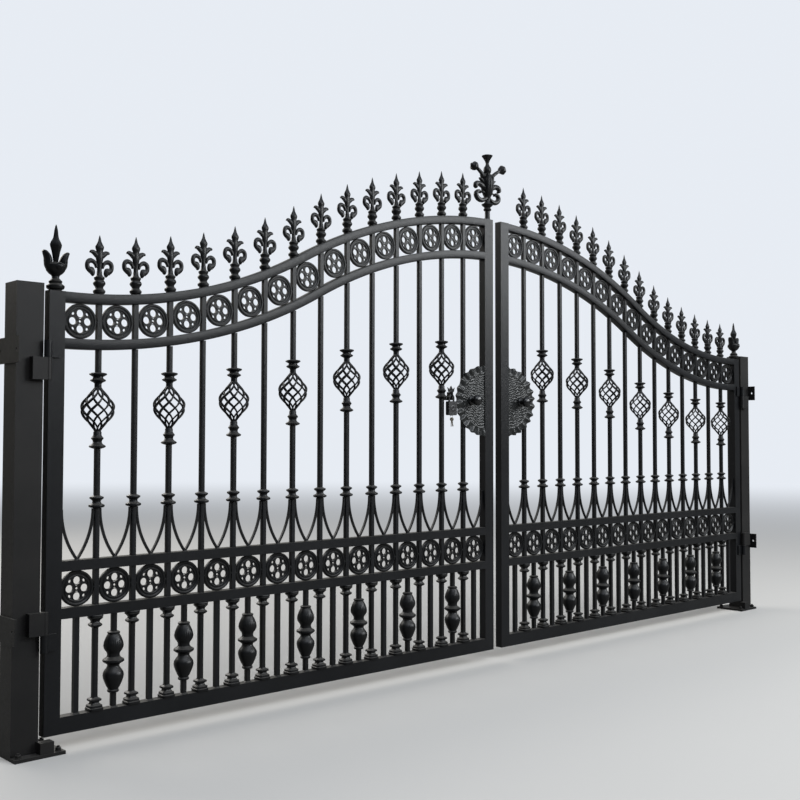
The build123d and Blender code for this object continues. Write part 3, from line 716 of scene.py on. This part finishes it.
# Bud finials on the hinge stiles. Each is one iron casting: a foot with two rings, a round cup
# with two tall petals whose tips turn outwards, two short ones, and a slim spear with square
# shoulders.
bud_foot = spun(((0.0220, 0.0), (0.0230, 0.0040), (0.0300, 0.0075), (0.0325, 0.0130), (0.0320, 0.0185),
                 (0.0270, 0.0230), (0.0215, 0.0265), (0.0235, 0.0300), (0.0240, 0.0345), (0.0190, 0.0400),
                 (0.0138, 0.0445), (0.0130, 0.0510), (0.0160, 0.0565), (0.0250, 0.0630), (0.0325, 0.0730),
                 (0.0362, 0.0850), (0.0360, 0.0930), (0.0310, 0.0990), (0.0220, 0.1020), (0.0120, 0.1035)),
                40, flutes=8, depth=0.04, low=0.058, high=0.102)
bud_spear = spun(((0.0100, 0.0980), (0.0105, 0.1100), (0.0130, 0.1240), (0.0165, 0.1420), (0.0220, 0.1600),
                  (0.0232, 0.1680), (0.0190, 0.1780), (0.0118, 0.1900), (0.0092, 0.2020), (0.0075, 0.2180),
                  (0.0035, 0.2350), (0.0006, 0.2415)), 16, 1.3)
tall_petal = curl(((0.0250, 0.0760), (0.0285, 0.0920), (0.0290, 0.1080), (0.0325, 0.1220), (0.0415, 0.1360),
                   (0.0500, 0.1405)),
                  (0.016, 0.027, 0.030, 0.025, 0.018, 0.008), 0.038, 12)
low_petal = curl(((0.0260, 0.0740), (0.0330, 0.0850), (0.0350, 0.0930), (0.0400, 0.0985)),
                 (0.014, 0.018, 0.014, 0.005), 0.034, 12)
bud_parts = [bud_foot, bud_spear]
for half in (0, 1):
    bud_parts.append(moved(tall_petal, turn=Matrix.Rotation(pi * half, 3, "Z")))
    bud_parts.append(moved(low_petal, turn=Matrix.Rotation(pi / 2 + pi * half, 3, "Z")))
bud = join_up(bud_parts)
for side in ("left", "right"):
    piece("cast_bud", side, moved(bud, leaf_x + stile_width / 2, bar_y, stile_top), casting_paint,
          side + "_leaf", ("tulip_finial",))

# Tall finial on the left meeting stile. One big casting: a collared stem with a cup, two pairs
# of thick scrolls, pointed leaves and three trumpet flowers, the middle one upright over a bud.
tall_stem = spun(((0.0150, 0.0), (0.0135, 0.0060), (0.0130, 0.0440), (0.0190, 0.0480), (0.0205, 0.0520),
                  (0.0185, 0.0560), (0.0150, 0.0610), (0.0180, 0.0660), (0.0260, 0.0720), (0.0300, 0.0780),
                  (0.0290, 0.0810), (0.0190, 0.0840), (0.0150, 0.0900), (0.0150, 0.1050), (0.0190, 0.1250),
                  (0.0240, 0.1450), (0.0265, 0.1700), (0.0290, 0.1950), (0.0275, 0.2150), (0.0210, 0.2300),
                  (0.0140, 0.2400)), 36, flutes=8, depth=0.16, low=0.110, high=0.238)
tall_bud = spun(((0.0120, 0.2340), (0.0180, 0.2420), (0.0208, 0.2550), (0.0185, 0.2670), (0.0125, 0.2760),
                 (0.0090, 0.2840), (0.0088, 0.2920), (0.0118, 0.3030), (0.0165, 0.3140), (0.0225, 0.3230),
                 (0.0262, 0.3285), (0.0240, 0.3315), (0.0140, 0.3270), (0.0080, 0.3270), (0.0060, 0.3340),
                 (0.0020, 0.3376)), 30, flutes=5, depth=0.20, low=0.298, high=0.336)
lower_scroll = curl(((0.0080, 0.1120), (0.0280, 0.1000), (0.0500, 0.0950), (0.0720, 0.1020), (0.0840, 0.1180),
                     (0.0780, 0.1330), (0.0630, 0.1390), (0.0510, 0.1320)),
                    (0.016, 0.022, 0.025, 0.026, 0.025, 0.021, 0.017, 0.011), 0.026, 10)
upper_scroll = curl(((0.0120, 0.1480), (0.0360, 0.1680), (0.0620, 0.1780), (0.0830, 0.1740), (0.0890, 0.1620),
                     (0.0810, 0.1540)),
                    (0.018, 0.025, 0.028, 0.026, 0.021, 0.012), 0.026, 10)
tooth = curl(((0.0100, 0.1300), (0.0320, 0.1380), (0.0480, 0.1390)), (0.014, 0.013, 0.003), 0.018, 10)
leaf_low = curl(((0.0140, 0.1760), (0.0360, 0.1950), (0.0610, 0.2080)), (0.018, 0.020, 0.004), 0.020, 10)
leaf_high = curl(((0.0100, 0.1980), (0.0240, 0.2220), (0.0360, 0.2400)), (0.016, 0.018, 0.004), 0.020, 10)
flower = spun(((0.0060, -0.0040), (0.0075, 0.0060), (0.0120, 0.0150), (0.0175, 0.0240), (0.0215, 0.0340),
               (0.0205, 0.0400), (0.0140, 0.0430), (0.0100, 0.0500), (0.0050, 0.0570), (0.0010, 0.0590)),
              24, flutes=6, depth=0.20, low=0.000, high=0.048)
one_side = join_up((lower_scroll, upper_scroll, tooth, leaf_low, leaf_high))
tall_parts = [tall_stem, tall_bud, both_ways(one_side)]
rib = curl(((0.0160, 0.1200), (0.0250, 0.1500), (0.0290, 0.1900), (0.0300, 0.2180), (0.0370, 0.2340)),
           (0.006, 0.010, 0.012, 0.011, 0.003), 0.016)
for number in range(4):
    tall_parts.append(moved(rib, turn=Matrix.Rotation(radians(45 + 90 * number), 3, "Z")))
left_stalk = curl(((-0.0120, 0.1960), (-0.0360, 0.2280), (-0.0700, 0.2520)), (0.020, 0.022, 0.017), 0.018, 10)
right_stalk = curl(((0.0120, 0.1960), (0.0380, 0.2300), (0.0860, 0.2640)), (0.020, 0.021, 0.016), 0.018, 10)
tall_parts += [left_stalk, right_stalk]
for x, z, lean in ((-0.066, 0.251, -72), (0.082, 0.262, 66)):
    tall_parts.append(moved(flower, x, 0, z, Matrix.Rotation(radians(lean), 3, "Y")))
from_stile_edge = 0.020
tall_finial = moved(join_up(tall_parts), leaf_x + leaf_width - from_stile_edge, bar_y,
                    arch_z(leaf_width, 0.0))
piece("cast_tall_finial", "left", tall_finial, casting_paint, "left_leaf",
      ("meeting_finial",))

# Lock plates. Two cast iron half discs, one beside each meeting stile on the street side, with
# a hammered field inside a raised line and a broad fluted rim that waves in and out like a shell.
plate_reach = 0.202
plate_half = 0.175
plate_back = 0.0095
thinnest = 0.0012


def plate_point(share, angle, back):
    """A point of the half disc: share runs from the middle to the rim."""
    waves = cos(angle * 26 + 0.5 * sin(angle * 9))
    reach = plate_reach * (1 + 0.020 * waves * share ** 8)
    tall = plate_half * (1 + 0.014 * waves * share ** 8)
    x = -share * reach * sin(angle)
    z = share * tall * cos(angle)
    if back:
        return (x, plate_back, z)
    # Hammer marks: crossing waves bent by a slower sway, so that no two dents are alike.
    sway = 0.9 * sin(x * 61 + z * 23) + 0.7 * sin(x * 137 - z * 71 + 1.3)
    dents = sin(z * 520 + 2.6 * sway + 1.5 * sin(x * 95))
    dents += 0.8 * sin(z * 310 - x * 180 + 3.0 * sin(x * 160 + sway))
    dents += 0.5 * sin(x * 640 + 2.0 * sin(z * 410)) * sin(z * 760 + x * 90)
    field = min(1.0, max(0.0, (0.80 - share) / 0.05))
    crest = 0.0016 * exp(-((share - 0.79) / 0.020) ** 2)
    rim = max(0.0, (share - 0.78) / 0.22)
    flute = 0.0056 * waves * sin(pi * min(rim, 1.0) * 0.62)
    thick = 0.0046 + crest + flute + 0.0008 * dents * field + 0.0012 * (1 - share)
    return (x, plate_back - max(thinnest, thick), z)


rings_count = 72
turns = 200
plate_points = []
for back in (False, True):
    for ring_index in range(1, rings_count + 1):
        for turn_index in range(turns + 1):
            plate_points.append(plate_point(ring_index / rings_count, pi * turn_index / turns, back))
layer = rings_count * (turns + 1)
plate_faces = []
for ring_index in range(rings_count - 1):
    for turn_index in range(turns):
        a = ring_index * (turns + 1) + turn_index
        quad = (a, a + 1, a + turns + 2, a + turns + 1)
        plate_faces.append(quad)
        plate_faces.append(tuple(layer + corner for corner in quad[::-1]))
for turn_index in range(turns):
    a = (rings_count - 1) * (turns + 1) + turn_index
    plate_faces.append((a, a + 1, layer + a + 1, layer + a))
centre_front = tuple(range(turns + 1))
plate_faces.append(centre_front)
plate_faces.append(tuple(layer + corner for corner in centre_front[::-1]))
plate = (plate_points, plate_faces)
plate_paint = paint("hammered casting paint", (0.0095, 0.0105, 0.0105), (0.0170, 0.0180, 0.0175),
                    rough=0.31, grain=1.0, grain_size=240.0, dust_and_sheen=0.3, shine=0.30)
lock_z = 1.307
stile_edge_x = leaf_x + leaf_width - stile_width
for side in ("left", "right"):
    piece("cast_lock_plate", side, moved(plate, stile_edge_x, front_y, lock_z), plate_paint,
          side + "_leaf", ("lock_plate",))

# Pull knobs in the lock plates. Turned steel balls painted gloss black, each on a short waisted
# shank with a round rose that lies on the plate.
knob_paint = paint("gloss black knob", (0.004, 0.004, 0.0045), (0.007, 0.007, 0.0075),
                   rough=0.22, grain=0.2, grain_size=500.0, dust_and_sheen=0.1, shine=0.4)
knob_profile = ((0.0210, 0.0), (0.0225, 0.0025), (0.0200, 0.0055), (0.0130, 0.0080), (0.0115, 0.0130),
                (0.0130, 0.0180), (0.0190, 0.0215), (0.0240, 0.0265), (0.0268, 0.0330), (0.0270, 0.0390),
                (0.0245, 0.0455), (0.0190, 0.0505), (0.0100, 0.0535), (0.0010, 0.0540))
knob = spun(knob_profile, 40)
knob_from_stile = 0.095
onto_front = Matrix.Rotation(radians(90), 3, "X")
for side in ("left", "right"):
    placed_knob = moved(knob, stile_edge_x - knob_from_stile, front_y, lock_z, onto_front)
    piece("turned_knob", side, placed_knob, knob_paint, side + "_leaf", ("pull_knob",))

# Staple and padlock beside the left lock plate. A welded steel arm and eye with a small cut crown,
# and a dull dark steel padlock that hangs in the eye with two flat keys on a wire ring.
dress("left_lock_staple", casting_paint, 0.0008)
padlock_steel = paint("dull dark steel", (0.020, 0.020, 0.021), (0.034, 0.033, 0.032),
                      rough=0.40, grain=0.35, grain_size=900.0, dust_and_sheen=0.2, shine=0.5)
padlock_steel.node_tree.nodes["Principled BSDF"].inputs["Metallic"].default_value = 0.55
dress("left_padlock", padlock_steel, 0.0012)
lock_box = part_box("left_padlock")
lock_x = (lock_box[0][0] + lock_box[1][0]) / 2
lock_front = lock_box[0][1]
lock_foot = lock_box[0][2]
barrel_y = lock_front + 0.011
face_plate_rise = 0.034
face_plate = spun(((0.0160, 0.0), (0.0160, 0.0006), (0.0150, 0.0012), (0.0060, 0.0014), (0.0050, 0.0008)), 32)
barrel = spun(((0.0080, 0.0), (0.0080, 0.0012), (0.0068, 0.0018), (0.0020, 0.0018)), 24)
upside_down = Matrix.Rotation(radians(180), 3, "X")
trim = join_up((moved(face_plate, lock_x, lock_front, lock_foot + face_plate_rise, onto_front),
                moved(barrel, lock_x, barrel_y, lock_foot, upside_down)))
piece("padlock_trim", "left", trim, padlock_steel, "left_leaf")
key_metal = paint("worn nickel key", (0.34, 0.31, 0.25), (0.22, 0.20, 0.16),
                  rough=0.32, grain=0.2, grain_size=900.0, dust_and_sheen=0.1, shine=0.5)
key_metal.node_tree.nodes["Principled BSDF"].inputs["Metallic"].default_value = 0.9
bow_of_key = pierced(circle(0.0, -0.0110, 0.0095, 24), [circle(0.0, -0.0065, 0.0026, 12)],
                     0.0011, 0.0003, 1)
blade_outline = ((-0.0032, -0.0190), (-0.0032, -0.0440), (0.0, -0.0480), (0.0032, -0.0440),
                 (0.0032, -0.0400), (0.0018, -0.0375), (0.0032, -0.0350), (0.0018, -0.0320),
                 (0.0032, -0.0290), (0.0032, -0.0190))
blade = pierced(blade_outline, [], 0.0010, 0.0002, 1)
key = join_up((bow_of_key, blade))
ring_z = lock_foot - 0.0065
key_z = ring_z - 0.0020
key_parts = [moved(torus(0.0085, 0.0012, 0.0012, 28, 6), lock_x, barrel_y, ring_z)]
for lean, turn in ((0.10, 0.5), (-0.16, -0.7)):
    tilt = Matrix.Rotation(turn, 3, "Z") @ Matrix.Rotation(lean, 3, "Y")
    key_parts.append(moved(key, lock_x, barrel_y, key_z, tilt))
piece("keys", "left", join_up(key_parts), key_metal, "left_leaf")

# Hinges. Each post carries two welded brackets with a pin, and each leaf two knuckles that drop
# over those pins; all of them painted with the gate.
for side in ("left", "right"):
    dress(side + "_hinge_brackets", post_paint, 0.001)
    dress(side + "_hinge_knuckles", iron_paint, 0.001)

# The room: a pale floor that fades into a pale surrounding like an overcast sky, and three
# soft lights.
floor_mesh = bpy.data.meshes.new("floor")
reach = 300
corners = [(-reach, -reach, 0), (reach, -reach, 0), (reach, reach, 0), (-reach, reach, 0)]
floor_mesh.from_pydata(corners, [], [(0, 1, 2, 3)])
floor = bpy.data.objects.new("floor", floor_mesh)
floor_material = bpy.data.materials.new("pale floor")
floor_material.use_nodes = True
floor_nodes = floor_material.node_tree.nodes
floor_links = floor_material.node_tree.links
floor_shader = floor_nodes["Principled BSDF"]
floor_shader.inputs["Roughness"].default_value = 0.85
spot = floor_nodes.new("ShaderNodeNewGeometry")
away = floor_nodes.new("ShaderNodeVectorMath")
away.operation = "LENGTH"
floor_links.new(spot.outputs["Position"], away.inputs[0])
haze = floor_nodes.new("ShaderNodeMapRange")
haze.interpolation_type = "SMOOTHSTEP"
haze.inputs["From Min"].default_value = 6.0
haze.inputs["From Max"].default_value = 26.0
floor_links.new(away.outputs["Value"], haze.inputs["Value"])
looked_at = floor_nodes.new("ShaderNodeLightPath")
share_seen = floor_nodes.new("ShaderNodeMath")
share_seen.operation = "MULTIPLY"
floor_links.new(haze.outputs["Result"], share_seen.inputs[0])
floor_links.new(looked_at.outputs["Is Camera Ray"], share_seen.inputs[1])
sky_color = (0.80, 0.84, 0.90, 1)
backdrop = floor_nodes.new("ShaderNodeEmission")
backdrop.inputs["Color"].default_value = sky_color
into_sky = floor_nodes.new("ShaderNodeMixShader")
floor_links.new(share_seen.outputs[0], into_sky.inputs["Fac"])
floor_tone = floor_nodes.new("ShaderNodeMix")
floor_tone.data_type = "RGBA"
floor_tone.inputs["A"].default_value = (0.26, 0.25, 0.23, 1)
floor_tone.inputs["B"].default_value = (0.52, 0.50, 0.47, 1)
floor_links.new(looked_at.outputs["Is Camera Ray"], floor_tone.inputs["Factor"])
floor_links.new(floor_tone.outputs["Result"], floor_shader.inputs["Base Color"])
floor_links.new(floor_shader.outputs["BSDF"], into_sky.inputs[1])
floor_links.new(backdrop.outputs["Emission"], into_sky.inputs[2])
floor_links.new(into_sky.outputs["Shader"], floor_nodes["Material Output"].inputs["Surface"])
floor_mesh.materials.append(floor_material)
bpy.context.scene.collection.objects.link(floor)

world = bpy.data.worlds.new("overcast")
bpy.context.scene.world = world
world.use_nodes = True
sky_nodes = world.node_tree.nodes
sky_links = world.node_tree.links
seen = sky_nodes["Background"]
seen.inputs["Color"].default_value = sky_color
seen.inputs["Strength"].default_value = 1.0
around = sky_nodes.new("ShaderNodeTexCoord")
axes = sky_nodes.new("ShaderNodeSeparateXYZ")
sky_links.new(around.outputs["Generated"], axes.inputs["Vector"])
height = sky_nodes.new("ShaderNodeValToRGB")
height.color_ramp.elements[0].position = 0.02
height.color_ramp.elements[0].color = (0.055, 0.055, 0.050, 1)
height.color_ramp.elements[1].position = 0.75
height.color_ramp.elements[1].color = (0.80, 0.88, 1.0, 1)
middle_sky = height.color_ramp.elements.new(0.22)
middle_sky.color = (0.24, 0.26, 0.28, 1)
sky_links.new(axes.outputs["Z"], height.inputs["Fac"])
behind = sky_nodes.new("ShaderNodeMapRange")
behind.inputs["From Min"].default_value = 0.25
behind.inputs["From Max"].default_value = 0.75
behind.inputs["To Max"].default_value = 0.85
sky_links.new(axes.outputs["Y"], behind.inputs["Value"])
walls = sky_nodes.new("ShaderNodeMix")
walls.data_type = "RGBA"
walls.inputs["B"].default_value = (0.50, 0.48, 0.43, 1)
sky_links.new(behind.outputs["Result"], walls.inputs["Factor"])
sky_links.new(height.outputs["Color"], walls.inputs["A"])
lighting = sky_nodes.new("ShaderNodeBackground")
lighting.inputs["Strength"].default_value = 0.72
sky_links.new(walls.outputs["Result"], lighting.inputs["Color"])
path = sky_nodes.new("ShaderNodeLightPath")
either = sky_nodes.new("ShaderNodeMixShader")
sky_links.new(path.outputs["Is Camera Ray"], either.inputs["Fac"])
sky_links.new(lighting.outputs["Background"], either.inputs[1])
sky_links.new(seen.outputs["Background"], either.inputs[2])
sky_links.new(either.outputs["Shader"], sky_nodes["World Output"].inputs["Surface"])


def soft_light(name, place, target, size, power, color):
    """A large soft area light aimed at a point."""
    data = bpy.data.lights.new(name, "AREA")
    data.shape = "RECTANGLE"
    data.size = size[0]
    data.size_y = size[1]
    data.energy = power
    data.color = color
    lamp = bpy.data.objects.new(name, data)
    lamp.location = place
    lamp.rotation_euler = (Vector(target) - Vector(place)).to_track_quat("-Z", "Y").to_euler()
    bpy.context.scene.collection.objects.link(lamp)


# Lights by place, point aimed at, size in metres, power in watts and colour.
soft_light("sky light", (1.0, -5.0, 6.5), (2.4, 0, 1.2), (7.0, 4.0), 270.0, (0.86, 0.92, 1.0))
soft_light("back light", (0.5, 7.0, 5.0), (2.4, 0, 1.0), (7.0, 3.0), 300.0, (1.0, 0.97, 0.92))
soft_light("bright side", (7.0, -6.5, 4.2), (2.4, 0, 1.3), (7.0, 2.6), 650.0, (0.95, 0.98, 1.0))

# The camera stands as the photograph's did: on the street side, left of the whole gate.
view = bpy.data.cameras.new("camera")
view.lens = 47.811
view.sensor_width = 36.0
camera = bpy.data.objects.new("camera", view)
yaw = 0.74661
pitch_up = 0.03749
roll = -0.0015
forward = Vector((sin(yaw) * cos(pitch_up), cos(yaw) * cos(pitch_up), sin(pitch_up)))
camera.location = (-1.5793, -3.6777, 1.1105)
camera.rotation_euler = (
    forward.to_track_quat("-Z", "Y").to_matrix() @ Matrix.Rotation(-roll, 3, "Z")
).to_euler()
bpy.context.scene.collection.objects.link(camera)
bpy.context.scene.camera = camera
bpy.context.scene.view_settings.view_transform = "Standard"
